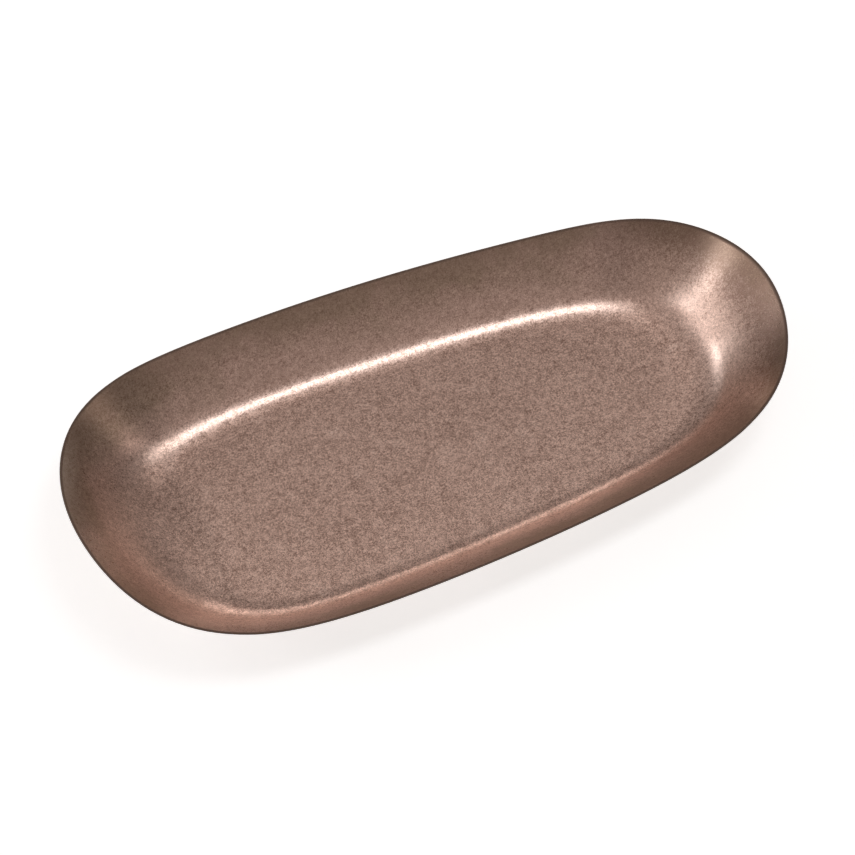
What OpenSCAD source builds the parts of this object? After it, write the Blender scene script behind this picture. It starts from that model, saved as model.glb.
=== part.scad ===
// Copper tray: one oblong dish pressed from a single sheet.
// A flat floor turns up through a rounded bend into a plain sloping wall,
// and the wall ends at a bare cut edge. The two ends rise higher than the
// long sides, and one end is a little broader than the other.
// Units are millimetres. The tray rests on z = 0, its length lies along X
// and the broader end is at -X.

/* [Overall] */
// length over the rims of the two ends
tray_length = 360; // [240:1:480]
// width over the rims of the two long sides, halfway along
tray_width = 179; // [120:1:240]
// height of the rim at the middle of a long side
side_height = 30; // [12:0.5:60]
// height of the rim at the middle of an end
end_height = 44; // [12:0.5:80]
// thickness of the copper sheet
sheet = 1; // [0.6:0.1:2.5]

/* [Floor] */
// length of the floor, measured to the bend at each end
floor_length = 280; // [160:1:400]
// width of the floor, measured to the bend at each side
floor_width = 121; // [60:1:180]
// how squarely the floor's ends are cut (0 is a plain oval)
end_squareness = 0.075; // [0:0.005:0.11]
// how straight the floor's long sides run (0 is a plain oval)
side_squareness = 0.075; // [0:0.005:0.11]
// how much narrower the +X end is than the middle, as a share of the width
taper = 0.1; // [0:0.01:0.2]

/* [Wall] */
// radius of the bend between floor and wall at the long sides
side_bend = 18; // [4:1:40]
// radius of the bend between floor and wall at the broad end
broad_end_bend = 75; // [4:1:110]
// radius of the bend between floor and wall at the narrow end
narrow_end_bend = 36; // [4:1:110]
// how much the wall is drawn in at the four corners
corner_draw = 4; // [0:0.5:8]
// how much lower the rim is at the four corners than between its neighbours
corner_dip = 4; // [0:0.5:8]

/* [Hidden] */

copper = [0.57, 0.44, 0.38];

around = 144;      // stations round the tray
bend_steps = 10;   // rings through the bend
wall_steps = 5;    // rings up the plain wall
end_bend_kept = 6; // an even power: the higher, the closer the wide bend keeps to the ends
edge_bulge = 0.3;  // how far the cut edge is rounded out, in sheets
edge_overhang = 0.75; // how far the outer skin reaches past the inner at the rim, in sheets

// ---- the floor's outline, where the plane of the floor meets the wall ----
function along(t) = (cos(t) - end_squareness * cos(3 * t)) / (1 - end_squareness);
function across(t) = (sin(t) + side_squareness * sin(3 * t)) / (1 - side_squareness);
function along_rate(t) = (-sin(t) + 3 * end_squareness * sin(3 * t)) / (1 - end_squareness);
function across_rate(t) = (cos(t) + 3 * side_squareness * cos(3 * t)) / (1 - side_squareness);

function floor_point(t) = [
    floor_length / 2 * along(t),
    floor_width / 2 * across(t) * (1 - taper * along(t))
];

function floor_tangent(t) = [
    floor_length / 2 * along_rate(t),
    floor_width / 2 * (across_rate(t) * (1 - taper * along(t)) - across(t) * taper * along_rate(t))
];

// outward direction square to the outline
function outward(t) = let (v = floor_tangent(t)) [v[1], -v[0]] / norm(v);

// ---- the wall at each station ----
function blend(t, side, end) = side + (end - side) * cos(t) * cos(t);
function corner(t) = pow(sin(2 * t), 2);
function wall_run(t) =
    blend(t, (tray_width - floor_width) / 2, (tray_length - floor_length) / 2)
    - edge_overhang * sheet - corner_draw * corner(t);
function wall_rise(t) = blend(t, side_height, end_height) - corner_dip * corner(t) - sheet;
function wall_angle(t) = atan2(wall_rise(t), wall_run(t));

// the bend's radius, kept small enough to fit inside the wall
function bend_radius(t) =
    let (
        room = 0.8 * norm([wall_run(t), wall_rise(t)]) / tan(wall_angle(t) / 2),
        end_bend = cos(t) > 0 ? narrow_end_bend : broad_end_bend
    )
    min(side_bend + (end_bend - side_bend) * pow(cos(t), end_bend_kept), room);

// ---- one profile: [distance out from the bend line, height, slope angle] ----
function bend_ring(t, k) =
    let (
        r = bend_radius(t),
        a = wall_angle(t) * k / bend_steps
    )
    [r * sin(a) - r * tan(wall_angle(t) / 2), r * (1 - cos(a)), a];

function wall_ring(t, k) =
    let (
        first = bend_ring(t, bend_steps),
        last = [wall_run(t), wall_rise(t), wall_angle(t)]
    )
    first + (last - first) * k / wall_steps;

function profile(t) = concat(
    [for (k = [0:bend_steps]) bend_ring(t, k)],
    [for (k = [1:wall_steps]) wall_ring(t, k)]
);

// a profile point moved a depth down through the sheet, then set in place
function skin_point(t, ring, depth, grow = 0) =
    let (
        out = ring[0] + depth * sin(ring[2]) + grow * cos(ring[2]),
        up = ring[1] - depth * cos(ring[2]) + grow * sin(ring[2]),
        p = floor_point(t) + out * outward(t)
    )
    [p[0], p[1], up + sheet];

// up the inside, over the cut edge and down the outside
function station(t) =
    let (
        rings = profile(t),
        top = rings[len(rings) - 1],
        bulge = edge_bulge * sheet
    )
    concat(
        [for (ring = rings) skin_point(t, ring, 0)],
        [skin_point(t, top, sheet / 4, bulge), skin_point(t, top, 3 * sheet / 4, bulge)],
        [for (k = [len(rings) - 1:-1:0]) skin_point(t, rings[k], sheet)]
    );

// ---- the single piece ----
module tray_body() {
    stations = [for (i = [0:around - 1]) station(360 * i / around)];
    count = len(stations[0]);
    color(copper)
    polyhedron(
        points = [for (s = stations) each s],
        faces = concat(
            [for (i = [0:around - 1], k = [0:count - 2])
                let (
                    here = i * count + k,
                    next = ((i + 1) % around) * count + k
                )
                each [[here, next + 1, here + 1], [here, next, next + 1]]],
            [[for (i = [around - 1:-1:0]) i * count]],
            [[for (i = [0:around - 1]) i * count + count - 1]]
        )
    );
}

tray_body();
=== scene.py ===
# %% [markdown]
# # A copper tray
# This lesson builds an oblong tray pressed from one sheet of copper. The tray has a flat
# floor, a rounded bend and a sloping wall that ends at a bare cut edge. The work goes in the
# order a maker would follow: the sheet, its shape, its thickness, its finish, and then a
# simple studio to look at it in. All lengths are in metres and the tray rests on z = 0.

import math

import bmesh
import bpy
from mathutils import Matrix, Vector, noise


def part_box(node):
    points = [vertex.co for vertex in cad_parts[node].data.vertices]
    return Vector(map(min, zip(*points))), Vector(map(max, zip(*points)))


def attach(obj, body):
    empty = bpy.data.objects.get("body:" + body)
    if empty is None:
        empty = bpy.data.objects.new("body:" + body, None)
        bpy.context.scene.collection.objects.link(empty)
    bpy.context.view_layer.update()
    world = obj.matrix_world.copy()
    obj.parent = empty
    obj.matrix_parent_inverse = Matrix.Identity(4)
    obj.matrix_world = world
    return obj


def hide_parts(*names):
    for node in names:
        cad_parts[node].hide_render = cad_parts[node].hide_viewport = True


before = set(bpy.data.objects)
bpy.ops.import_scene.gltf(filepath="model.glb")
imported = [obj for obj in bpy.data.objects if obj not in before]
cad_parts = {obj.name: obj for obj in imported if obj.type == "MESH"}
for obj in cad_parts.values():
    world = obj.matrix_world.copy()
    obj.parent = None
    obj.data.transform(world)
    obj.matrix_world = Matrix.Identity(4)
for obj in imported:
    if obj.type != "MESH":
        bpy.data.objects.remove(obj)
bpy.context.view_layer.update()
tray_low, tray_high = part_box("tray_body")
print("CAD box", tray_low[:], tray_high[:])

# %% [markdown]
# ## The sizes that drive the shape
# The overall length and the height of the ends come from the frame, so the tray always fits
# it. The rest are the same few sizes the frame was drawn from. Keeping them together at the
# top, under plain names, means that one change reshapes the whole tray.

# %% Sizes
MM = 0.001
SHEET = 1.0 * MM
RIM_INSET = 0.25 * MM  # room for the hand-worked waves inside the frame's box

HALF_LENGTH = (tray_high.x - tray_low.x) / 2
END_HEIGHT = tray_high.z - tray_low.z
HALF_WIDTH = 89.5 * MM
SIDE_HEIGHT = 30 * MM

FLOOR_HALF_LENGTH = 140 * MM
FLOOR_HALF_WIDTH = 60.5 * MM
END_SQUARENESS = 0.075
SIDE_SQUARENESS = 0.075
TAPER = 0.1

SIDE_BEND = 18 * MM
BROAD_END_BEND = 75 * MM
NARROW_END_BEND = 36 * MM
END_BEND_KEPT = 6  # a high power keeps each wide bend to its own end
CORNER_DRAW = 4 * MM
CORNER_DIP = 4 * MM
EDGE_OVERHANG = 0.75 * SHEET
print("tray", round(2 * HALF_LENGTH, 4), "long,", round(END_HEIGHT, 4), "high at its ends")

# %% [markdown]
# ## The outline of the floor
# The floor is an oval with its corners filled out, a little broader at one end. It could be
# drawn by hand as a curve, but a formula is exact and every ring of the wall can be worked
# out from it. The first wave of the sine and cosine makes the oval, the third wave squares
# it, and the taper narrows one end.


# %% Outline
def floor_along(angle):
    return (math.cos(angle) - END_SQUARENESS * math.cos(3 * angle)) / (1 - END_SQUARENESS)


def floor_across(angle):
    square = (math.sin(angle) + SIDE_SQUARENESS * math.sin(3 * angle)) / (1 - SIDE_SQUARENESS)
    return square * (1 - TAPER * floor_along(angle))


def floor_point(angle):
    along = FLOOR_HALF_LENGTH * floor_along(angle)
    across = FLOOR_HALF_WIDTH * floor_across(angle)
    return Vector((along, across, 0))


def outward(angle):
    """The level direction square to the outline, away from the tray."""
    step = math.radians(0.1)
    run = floor_point(angle + step) - floor_point(angle - step)
    return Vector((run.y, -run.x, 0)).normalized()


print("floor runs from", floor_point(math.pi).x, "to", floor_point(0).x)

# %% [markdown]
# ## The profile of bend and wall
# Cut the tray across and the wall is a straight slope that meets the floor in a round bend.
# The bend is tight along the sides and wide at the ends, where the metal flares softly. The
# profile gives, for any place round the tray, how far out and how high each ring lies.

# %% Profile
BEND_STEPS = 12
WALL_STEPS = 12
BEND_SHARE = 0.8  # the most of the wall's slant that one leg of the bend may take up


def blend_round(angle, side, end):
    return side + (end - side) * math.cos(angle) ** 2


def corner_share(angle):
    return math.sin(2 * angle) ** 2


def wall_reach(angle):
    """How far the rim is from the bend line: outward, and up."""
    corner = corner_share(angle)
    run = blend_round(angle, HALF_WIDTH - FLOOR_HALF_WIDTH, HALF_LENGTH - FLOOR_HALF_LENGTH)
    rise = blend_round(angle, SIDE_HEIGHT, END_HEIGHT) - SHEET
    spare = EDGE_OVERHANG + RIM_INSET
    return run - spare - CORNER_DRAW * corner, rise - RIM_INSET - CORNER_DIP * corner


def profile(angle):
    """Rings from the edge of the floor to the rim, as (outward, up) pairs."""
    run, rise = wall_reach(angle)
    slope = math.atan2(rise, run)
    room = BEND_SHARE * math.hypot(run, rise) / math.tan(slope / 2)
    end_bend = NARROW_END_BEND if math.cos(angle) > 0 else BROAD_END_BEND
    widening = (end_bend - SIDE_BEND) * math.cos(angle) ** END_BEND_KEPT
    radius = min(SIDE_BEND + widening, room)
    rings = []
    for step in range(BEND_STEPS + 1):
        turn = slope * step / BEND_STEPS
        out = radius * (math.sin(turn) - math.tan(slope / 2))
        rings.append((out, radius * (1 - math.cos(turn))))
    bend_out, bend_up = rings[-1]
    for step in range(1, WALL_STEPS + 1):
        share = step / WALL_STEPS
        rings.append((bend_out + (run - bend_out) * share, bend_up + (rise - bend_up) * share))
    return rings


def ring_point(angle, ring):
    out, up = profile(angle)[ring]
    return floor_point(angle) + outward(angle) * out + Vector((0, 0, up + SHEET))


print("wall at a side", wall_reach(math.pi / 2), "and at an end", wall_reach(0))

# %% [markdown]
# ## The floor
# The floor could be a disc of triangles meeting at a point, but a point in the middle pinches
# the shading. A square grid pulled into the oval keeps even four-sided faces all over, which
# bend and subdivide cleanly. Each vertex keeps the angle it stands at, because the wall is
# grown from the floor's edge and needs to know where round the tray it is.

# %% Floor
FLOOR_CELLS_LONG = 56
FLOOR_CELLS_WIDE = 28

sheet = bmesh.new()
station = sheet.verts.layers.float.new("station")
up_wall = sheet.verts.layers.float.new("up_wall")
bmesh.ops.create_grid(sheet, x_segments=FLOOR_CELLS_LONG, y_segments=FLOOR_CELLS_WIDE, size=1)
for vert in sheet.verts:
    u, v = vert.co.x, vert.co.y
    disc = Vector((u * math.sqrt(1 - v * v / 2), v * math.sqrt(1 - u * u / 2)))
    vert[station] = math.atan2(disc.y, disc.x)
    edge = ring_point(vert[station], 0)
    vert.co = Vector((edge.x * disc.length, edge.y * disc.length, edge.z))
print("floor faces", len(sheet.faces))

# %% [markdown]
# ## Raising the wall
# A smith raises the wall a course at a time, working round and round. Extruding the open edge
# ring by ring does the same thing: every pass copies the rim and moves the copy to the next
# step of the profile. The copies keep their angles, so each knows where it belongs.

# %% Wall
rim_edges = [edge for edge in sheet.edges if edge.is_boundary]
ring_count = BEND_STEPS + WALL_STEPS
for ring in range(1, ring_count + 1):
    grown = bmesh.ops.extrude_edge_only(sheet, edges=rim_edges)["geom"]
    for vert in (part for part in grown if isinstance(part, bmesh.types.BMVert)):
        vert.co = ring_point(vert[station], ring)
        vert[up_wall] = ring / ring_count
    new_edges = [part for part in grown if isinstance(part, bmesh.types.BMEdge)]
    rim_edges = [edge for edge in new_edges if edge.is_boundary]
bmesh.ops.recalc_face_normals(sheet, faces=sheet.faces)
if sum(face.normal.z for face in sheet.faces) < 0:
    bmesh.ops.reverse_faces(sheet, faces=sheet.faces)
print("sheet faces", len(sheet.faces), "rim edges", len(rim_edges))

# %% [markdown]
# ## Hand-worked waves
# No sheet stays perfectly even when it is worked by hand. Shallow waves a few centimetres
# long make reflections swim a little, which is what the eye reads as real metal. They are
# moved into the mesh itself, because a bump in the material can't bend an outline. The waves
# are strongest at the ends, where the metal was gathered in, and only ever lift the floor,
# so that the tray still rests on the table. They fade toward the rim, which stays a clean line.
# Two shallow dents in the narrow end's wall gather the light into two soft patches.

# %% Waves
WAVE_LENGTH = 42 * MM
END_WAVE = 0.7 * MM
SIDE_WAVE = 0.12 * MM
FLOOR_WAVE = 0.1 * MM
DENTS = [(163 * MM, 20 * MM), (151 * MM, -10 * MM)]
DENT_DEPTH = 1.1 * MM
DENT_RADIUS = 11 * MM
RIM_FADE_START = 0.7  # share of the rings above which the waves die away
KEPT_AT_RIM = 0.2


def dent_depth(place):
    """How far the two dents push the wall outward at a place, seen from above."""
    depth = 0
    for along, across in DENTS:
        distance = math.hypot(place.x - along, place.y - across)
        depth += DENT_DEPTH * math.exp(-0.5 * (distance / DENT_RADIUS) ** 2)
    return depth


def wave_height(place, height_share):
    """How far a place moves along its normal, which points into the dish."""
    ripple = noise.noise(place / WAVE_LENGTH)
    end_share = min(1, abs(place.x) / HALF_LENGTH) ** 3
    wall = (SIDE_WAVE + (END_WAVE - SIDE_WAVE) * end_share) * ripple
    level = FLOOR_WAVE * (0.5 + 0.5 * ripple)
    on_wall = min(1, height_share * 2)
    past_start = max(0, height_share - RIM_FADE_START) / (1 - RIM_FADE_START)
    kept = 1 - (1 - KEPT_AT_RIM) * past_start
    return (level * (1 - on_wall) + (wall - dent_depth(place)) * on_wall) * kept


sheet.normal_update()
moves = [(vert, vert.normal * wave_height(vert.co, vert[up_wall])) for vert in sheet.verts]
for vert, move in moves:
    vert.co += move
print("largest wave", max(move.length for vert, move in moves))

# %% [markdown]
# ## Thickness and the cut edge
# Sheet metal has two skins a millimetre apart. Solidify copies the surface, moves the copy
# down and closes the rim with a strip of faces. A maker files the cut edge so that it doesn't
# catch a hand, so both of its corners get a small rounded bevel, found by their sharp angle.

# %% Thickness
SHARP = math.radians(50)
EDGE_ROUND = 0.28 * MM

bmesh.ops.solidify(sheet, geom=sheet.faces[:], thickness=SHEET)
sheet.normal_update()
corners = [edge for edge in sheet.edges if edge.calc_face_angle(0) > SHARP]
bmesh.ops.bevel(
    sheet,
    geom=corners,
    offset=EDGE_ROUND,
    affect="EDGES",
    segments=2,
    profile=0.5,
    material=-1,
)
lowest = min(vert.co.z for vert in sheet.verts)
print("lowest point", round(lowest / MM, 3), "mm, bevelled corners", len(corners))

# %% [markdown]
# ## The tray as an object
# So far the sheet is only loose geometry. Here it becomes an object that can be lit and
# rendered. Smooth shading hides the flat faces, and one level of Subdivision Surface rounds
# what is left of them at the rim. The last calls hang the tray from the root, which stands
# still, and hide the plain frame part whose place it takes.

# %% The tray as an object
tray_mesh = bpy.data.meshes.new("copper_tray")
sheet.to_mesh(tray_mesh)
sheet.free()
tray_mesh.shade_smooth()
tray = bpy.data.objects.new("copper_tray", tray_mesh)
bpy.context.scene.collection.objects.link(tray)

smooth = tray.modifiers.new("smooth", "SUBSURF")
smooth.levels = 1
smooth.render_levels = 1

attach(tray, "root")
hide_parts("tray_body")
print("tray vertices", len(tray_mesh.vertices))

# %% [markdown]
# ## Writing a shader as sums
# A finish is mostly arithmetic: this mottling times that mask, plus a little of the other.
# Placing a Math node by hand for every step hides the sum. This small class wraps a socket so
# that ordinary operators add the nodes, and one function adds any other kind of node.


# %% Shader helpers
class Signal:
    """A shader socket that takes part in sums. Each operator adds one Math node."""

    def __init__(self, tree, socket):
        self.tree = tree
        self.socket = socket

    def math(self, operation, first, second=0.0, clamp=False):
        settings = {"operation": operation, "use_clamp": clamp}
        return add_node(self.tree, "ShaderNodeMath", settings, {0: first, 1: second})

    def __add__(self, other):
        return self.math("ADD", self, other)

    def __radd__(self, other):
        return self.math("ADD", other, self)

    def __sub__(self, other):
        return self.math("SUBTRACT", self, other)

    def __rsub__(self, other):
        return self.math("SUBTRACT", other, self)

    def __mul__(self, other):
        return self.math("MULTIPLY", self, other)

    def __rmul__(self, other):
        return self.math("MULTIPLY", other, self)

    def __truediv__(self, other):
        return self.math("DIVIDE", self, other)

    def __pow__(self, other):
        return self.math("POWER", self, other)

    def clamped(self):
        return self.math("ADD", self, 0.0, clamp=True)

    def between(self, low, high):
        """0 below low, 1 above high, and an even rise from one to the other."""
        return ((self - low) / (high - low)).clamped()


def add_node(tree, kind, settings, inputs, output=0):
    """Adds a node, sets it up, fills or links its sockets and returns one output."""
    node = tree.nodes.new(kind)
    for name, value in settings.items():
        setattr(node, name, value)
    for key, value in inputs.items():
        if isinstance(value, Signal):
            tree.links.new(value.socket, node.inputs[key])
        else:
            node.inputs[key].default_value = value
    return Signal(tree, node.outputs[output])


def grain(tree, place, size, detail=2.0, roughness=0.5, distortion=0.0):
    """Soft random mottling, from 0 to 1, whose patches are about one size across."""
    inputs = {
        "Vector": place,
        "Scale": 1 / size,
        "Detail": detail,
        "Roughness": roughness,
        "Distortion": distortion,
    }
    return add_node(tree, "ShaderNodeTexNoise", {}, inputs)


def mix_colour(tree, share, first, second, blend="MIX"):
    settings = {"data_type": "RGBA", "blend_type": blend}
    return add_node(tree, "ShaderNodeMix", settings, {0: share, 6: first, 7: second}, output=2)


# %% [markdown]
# ## Aged copper
# Fresh copper is orange. Handling and air turn it a muted brown pink, and the last stretch
# below the rim goes olive brown, darkened further by a painted shade toward the rim. The
# metal is satin, with a fine grain like leather seen from far off, coarser on the floor than
# on the wall.
#
# One shader carries all of it. The broad patches and the fine grain are noise of different
# sizes, in the tray's own coordinates, and the mesh tells the shader how far up the wall it is.
# The noises and masks are made first, so that the cells after this one only have to mix them.

# %% Copper finish
PINK_BROWN = (0.72, 0.572, 0.505, 1)
OLIVE_BROWN = (0.45, 0.365, 0.29, 1)
DARK_SPECK = (0.30, 0.205, 0.17, 1)
BRIGHT_FLECK = (0.98, 0.84, 0.76, 1)
# A painted shade for the thin dark line along the cut edge.
PAINTED_EDGE_SHADE = (0.12, 0.09, 0.075, 1)
# The darkest end also takes the painted shade under the rim.
DEEP_GRAIN_AND_SHADE = (0.52, 0.47, 0.45, 1)  # multiplies the colour in the darkest grain
PALE_GRAIN = (1.42, 1.46, 1.48, 1)  # and in the palest
BARE_METAL = 0.94  # the rest is a thin film of oxide, which scatters a little light

copper = bpy.data.materials.new("aged_copper")
copper.use_nodes = True
tree = copper.node_tree
shader = tree.nodes["Principled BSDF"]
place = add_node(tree, "ShaderNodeTexCoord", {}, {}, output=3)
height_share = add_node(
    tree, "ShaderNodeAttribute", {"attribute_name": "up_wall"}, {}, output=2
)

cloud = grain(tree, place, 45 * MM, detail=4)
patch = grain(tree, place, 8 * MM, detail=3)
worm = grain(tree, place, 1.0 * MM, detail=2, roughness=0.6, distortion=0.7)
fine = grain(tree, place, 0.55 * MM, detail=1)
small_patch = grain(tree, place, 2.6 * MM, detail=2)
speck = grain(tree, place, 1.8 * MM, detail=1)

on_floor = 1 - height_share.between(0.15, 0.45)
below_rim = 1 - height_share.between(0.75, 0.95)
print("copper mottling nodes", len(tree.nodes))

# %% [markdown]
# ## Mottling, patina and painted shade
# The patina under the rim isn't a clean band. Its lower edge wanders like a tide mark, so the
# height up the wall is shifted by the cloudy noise before it picks the colour. The grain is
# mixed from three sizes of noise, one of them twisted so that it looks worm-eaten. It
# multiplies the colour, strongest on the floor, where the tray is worn, and fading to the rim.
#
# The narrow end is a little different: less of its wall is olive, and the painted shade under
# its rim is stronger. The cut edge shows as a thin dark line, painted on as a shade of its own.

# %% Mottling, patina and painted shade
OLIVE_MOST = 0.9
# Painted shade: how far the colour is darkened toward the rim, and more under the narrow end's
# rim.
PAINTED_RIM_SHADE = 0.22
NARROW_END_PAINTED_SHADE = 0.30
SPECK_SHADE = 0.35
# How strongly the painted shade darkens the cut edge.
EDGE_SHADE_STRENGTH = 0.85

patina = (height_share + (cloud - 0.5) * 1.5 + (patch - 0.5) * 0.4).between(0.55, 0.95)
along_tray = add_node(tree, "ShaderNodeSeparateXYZ", {}, {0: place}, output=0)
less_olive = along_tray.between(100 * MM, 145 * MM) * below_rim * 0.7
olive_share = patina * height_share.between(0.3, 0.7) * OLIVE_MOST * (1 - less_olive)
tone = mix_colour(tree, olive_share, PINK_BROWN, OLIVE_BROWN)

grain_strength = 0.8 + below_rim * 0.8 + on_floor * 1.2
mottle = (worm - 0.5) * 0.8 + (fine - 0.5) * 0.7 + (small_patch - 0.5) * 0.4
broad = (patch - 0.5) * 0.22 + (cloud - 0.5) * 0.25
# Painted shade: the wall is darkened toward the rim, most at the narrow end, by pushing the
# grain toward its darkest colour.
narrow_rim = along_tray.between(125 * MM, 165 * MM) * height_share.between(0.55, 0.85)
painted_rim_shade = height_share.between(0.5, 1.0) * PAINTED_RIM_SHADE + narrow_rim * NARROW_END_PAINTED_SHADE
grain_and_painted_shade = 0.5 + mottle * grain_strength + broad - painted_rim_shade
shade = mix_colour(tree, grain_and_painted_shade.clamped(), DEEP_GRAIN_AND_SHADE, PALE_GRAIN)
tone = mix_colour(tree, 1.0, tone, shade, blend="MULTIPLY")
dark_specks = speck.between(0.68, 0.78) * SPECK_SHADE
tone = mix_colour(tree, dark_specks, tone, DARK_SPECK)
cut_edge = height_share.between(0.975, 1.0)
# Painted shade: a thin dark line along the cut edge.
tone = mix_colour(tree, cut_edge * EDGE_SHADE_STRENGTH, tone, PAINTED_EDGE_SHADE)
print("copper colour nodes", len(tree.nodes))

# %% [markdown]
# ## Bright flecks
# The floor of a tray that has been used carries short pale flecks, where the skin is broken.
# Noise stretched along one direction gives thin marks when only its highest crests are kept.
# Three directions, broken up by a soft patchy mask, look like marks made one at a time. They
# are few and faint, and most of the floor has none.

# %% Bright flecks
FLECK_WIDTH = 0.9 * MM
FLECK_STRETCH = 0.4
FLECK_STRENGTH = 0.4
FLECK_CREST = (0.69, 0.73)  # only the noise above the first of these shows as a mark


def flecks(turn_degrees, offset):
    """Short parallel marks that run along one direction of the floor."""
    inputs = {
        "Vector": place,
        "Location": (offset, offset, 0),
        "Rotation": (0, 0, math.radians(turn_degrees)),
        "Scale": (FLECK_STRETCH, 1, 1),
    }
    laid = add_node(tree, "ShaderNodeMapping", {}, inputs)
    return grain(tree, laid, FLECK_WIDTH, detail=0).between(*FLECK_CREST)


marks = flecks(20, 0.0) + flecks(75, 0.37) + flecks(140, 0.71)
worn = grain(tree, place, 16 * MM, detail=2).between(0.54, 0.68)
fleck_mask = (marks * worn * on_floor).clamped() * FLECK_STRENGTH
tone = mix_colour(tree, fleck_mask, tone, BRIGHT_FLECK)
print("copper nodes with flecks", len(tree.nodes))

# %% [markdown]
# ## Gloss and relief
# Satin metal is neither a mirror nor matt. A roughness just under a third spreads each light
# into a soft patch, and the grain moves it a little up and down, so that highlights break up at
# their edges. The cut edge is duller. The same grain, as a faint bump, gives the surface its
# tooth. A fleck is a broken skin that scatters light every way, so it is made less metallic.

# %% Gloss and relief
SATIN = 0.29
LOST_METAL = 0.9
RELIEF_STRENGTH = 0.25
RELIEF_DEPTH = 0.12 * MM

dulled = on_floor * 0.03 + cut_edge * 0.35
roughness = SATIN + dulled + (worm - 0.5) * 0.10 + (cloud - 0.5) * 0.06
relief = worm * 0.8 + fine * 0.5 + patch * 0.4 - fleck_mask * 0.6
bump_inputs = {"Strength": RELIEF_STRENGTH, "Distance": RELIEF_DEPTH, "Height": relief}
bump = add_node(tree, "ShaderNodeBump", {}, bump_inputs)

tree.links.new(tone.socket, shader.inputs["Base Color"])
tree.links.new(roughness.clamped().socket, shader.inputs["Roughness"])
tree.links.new(bump.socket, shader.inputs["Normal"])
metal = BARE_METAL - fleck_mask * LOST_METAL
tree.links.new(metal.socket, shader.inputs["Metallic"])
tray_mesh.materials.append(copper)
print("copper nodes in all", len(tree.nodes))

# %% [markdown]
# ## The table
# A satin metal shows its shape by what it mirrors, so what stands round the tray matters as
# much as its finish. The table is a plain pale sheet. It glows a little by itself, because a
# real white table is lit from far more directions than a few lamps give, and the glow keeps the
# tray's shadow as faint as it is in a bright studio.

# %% Table
TABLE_SIZE = 8.0
TABLE_COLOUR = (0.76, 0.84, 0.88, 1)
TABLE_GLOW = 0.60

table_shape = bmesh.new()
bmesh.ops.create_grid(table_shape, x_segments=2, y_segments=2, size=TABLE_SIZE / 2)
table_mesh = bpy.data.meshes.new("table")
table_shape.to_mesh(table_mesh)
table_shape.free()
table = bpy.data.objects.new("table", table_mesh)
bpy.context.scene.collection.objects.link(table)
pale = bpy.data.materials.new("pale_table")
pale.use_nodes = True
pale_shader = pale.node_tree.nodes["Principled BSDF"]
pale_shader.inputs["Base Color"].default_value = TABLE_COLOUR
pale_shader.inputs["Roughness"].default_value = 0.9
pale_shader.inputs["Specular IOR Level"].default_value = 0.1
pale_shader.inputs["Emission Color"].default_value = (1, 1, 1, 1)
pale_shader.inputs["Emission Strength"].default_value = TABLE_GLOW
table_mesh.materials.append(pale)
print("table", TABLE_SIZE, "m across")

# %% [markdown]
# ## Room light
# The room fills in everything that no lamp reaches. Were it the same all round, the wall would
# be one flat tone, so it is brighter overhead and to the left and dim elsewhere. A direction's
# own height and leftward part, raised to a power, are enough to say that.

# %% Room light
WARM = (1, 0.80, 0.72)
ROOM_EVEN = 0.18
ROOM_ABOVE = 0.30
ROOM_LEFT = 0.24

room = bpy.data.worlds.new("room")
bpy.context.scene.world = room
room.use_nodes = True
sky = add_node(room.node_tree, "ShaderNodeTexCoord", {}, {})
leftward = 0.0 - add_node(room.node_tree, "ShaderNodeSeparateXYZ", {}, {0: sky}, output=0)
height = add_node(room.node_tree, "ShaderNodeSeparateXYZ", {}, {0: sky}, output=2)
above = height.clamped() ** 3 * ROOM_ABOVE
beside = leftward.clamped() ** 2 * ROOM_LEFT
room_strength = ROOM_EVEN + above + beside
room_light = room.node_tree.nodes["Background"]
room_light.inputs["Color"].default_value = (*WARM, 1)
room.node_tree.links.new(room_strength.socket, room_light.inputs["Strength"])
print("room light", ROOM_EVEN, "all round, and", ROOM_EVEN + ROOM_ABOVE, "overhead")

# %% [markdown]
# ## Soft boxes
# A studio lights metal with large soft boxes and places each one for the reflection it gives. A
# row of them overhead draws one bright line down the far bend. Two small ones low on the left
# make the two patches in the narrow end's wall, and a wide low one behind the tray warms the
# wall nearest to the camera. The rest are weak and only lift the dark places. Area lamps do
# this directly, and a lamp's strength is given as how bright its face is, so that a larger box
# is a larger reflection and not a dimmer one.

# %% Soft boxes
AIM = Vector((0, 0, 0.01))
PALE_WARM = (1, 0.92, 0.88)
NEUTRAL = (1, 0.98, 0.98)


def soft_box(name, spot, width, depth, brightness, colour=WARM):
    """A flat soft light that faces the tray, with its width kept level."""
    lamp = bpy.data.lights.new(name, "AREA")
    lamp.shape = "RECTANGLE"
    lamp.size = width
    lamp.size_y = depth
    lamp.energy = brightness * math.pi * width * depth
    lamp.color = colour
    holder = bpy.data.objects.new(name, lamp)
    bpy.context.scene.collection.objects.link(holder)
    facing = (Vector(spot) - AIM).normalized()
    level = Vector((1, 0, 0)) if facing.z > 0.7 else Vector((-facing.y, facing.x, 0))
    side = (level - facing * level.dot(facing)).normalized()
    turn = Matrix((side, facing.cross(side), facing)).transposed()
    holder.matrix_world = Matrix.Translation(spot) @ turn.to_4x4()
    print(name, "box, power", round(lamp.energy, 2), "W")


def around_tray(turn_degrees, rise_degrees, distance):
    """A spot seen from the tray at a compass turn from +X and a rise above the table."""
    turn, rise = math.radians(turn_degrees), math.radians(rise_degrees)
    level = math.cos(rise) * distance
    return Vector((math.cos(turn) * level, math.sin(turn) * level, math.sin(rise) * distance))


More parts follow.
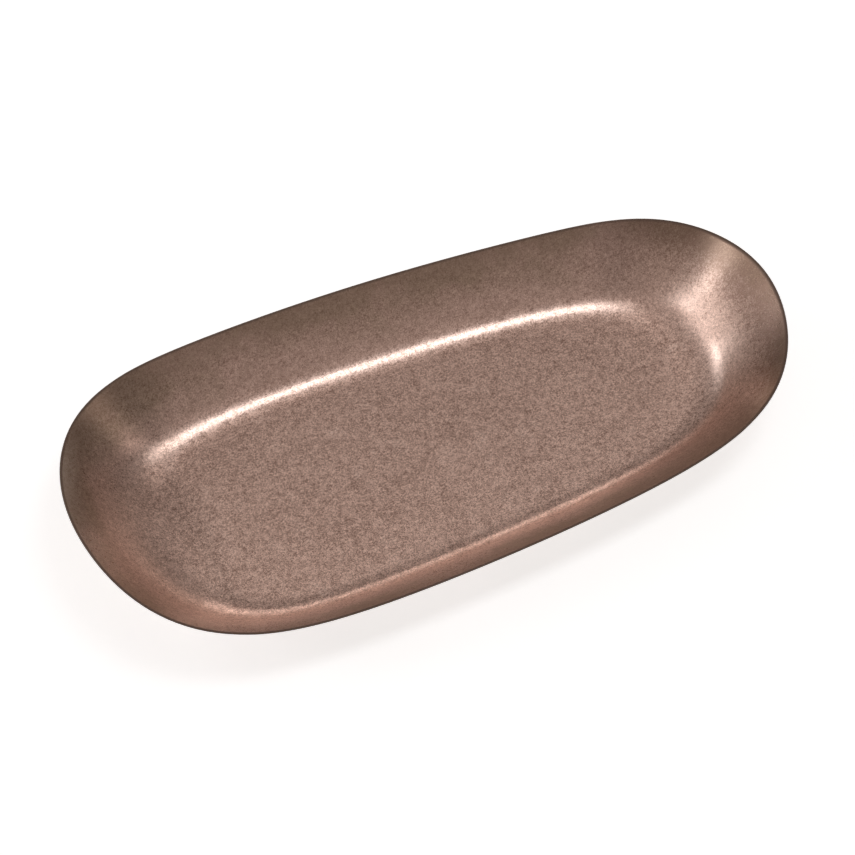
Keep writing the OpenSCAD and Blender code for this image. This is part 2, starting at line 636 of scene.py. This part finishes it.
soft_box("overhead", (0.35, -0.15, 1.4), 0.45, 0.34, 4.5, NEUTRAL)
soft_box("overhead_left", (-0.10, -0.15, 1.4), 0.45, 0.34, 0.8, PALE_WARM)
soft_box("overhead_right", (0.80, -0.12, 1.35), 0.45, 0.34, 2.6, PALE_WARM)
soft_box("overhead_far", (1.25, -0.05, 1.2), 0.45, 0.35, 1.4, PALE_WARM)
soft_box("overhead_back", (0, 0.55, 1.3), 0.8, 0.4, 0.25)
soft_box("behind", around_tray(66, 11, 1.6), 0.9, 0.26, 2.8)
soft_box("left_wide", around_tray(147, 29, 1.5), 0.9, 0.5, 0.55)
soft_box("left_spot_low", around_tray(162, 25, 1.4), 0.32, 0.32, 4.1, NEUTRAL)
soft_box("left_spot_high", around_tray(129, 27, 1.4), 0.30, 0.30, 4.4, NEUTRAL)
soft_box("right_spot", around_tray(-16, 19, 1.4), 0.4, 0.4, 0.6)
soft_box("right_high", around_tray(30, 42, 1.4), 0.6, 0.4, 0.35)
soft_box("front", around_tray(-71, 40, 1.5), 1.2, 0.7, 0.15)

# %% [markdown]
# ## The camera
# The camera looks down at the tray from the front left, from a little over a metre away, with
# a longish lens so that the far end hardly shrinks. Its place is worked out from two angles
# and a distance, and the small slides move it across its own view to frame the tray.

# %% Camera
VIEW_TURN = math.radians(25.02)
VIEW_TILT = math.radians(51.91)
VIEW_DISTANCE = 1.2
VIEW_SLIDE = (2.81 * MM, -10.96 * MM)
VIEW_LENS = 104.64

back = Vector((
    -math.sin(VIEW_TURN) * math.cos(VIEW_TILT),
    -math.cos(VIEW_TURN) * math.cos(VIEW_TILT),
    math.sin(VIEW_TILT),
))
right = Vector((math.cos(VIEW_TURN), -math.sin(VIEW_TURN), 0))
up = back.cross(right)

lens = bpy.data.cameras.new("camera")
lens.lens = VIEW_LENS
lens.sensor_width = 36
camera = bpy.data.objects.new("camera", lens)
bpy.context.scene.collection.objects.link(camera)
stand = back * VIEW_DISTANCE - right * VIEW_SLIDE[0] - up * VIEW_SLIDE[1]
turn = Matrix((right, up, back)).transposed()
camera.matrix_world = Matrix.Translation(stand) @ turn.to_4x4()
bpy.context.scene.camera = camera
bpy.context.scene.view_settings.view_transform = "Standard"
print("camera at", camera.location[:])
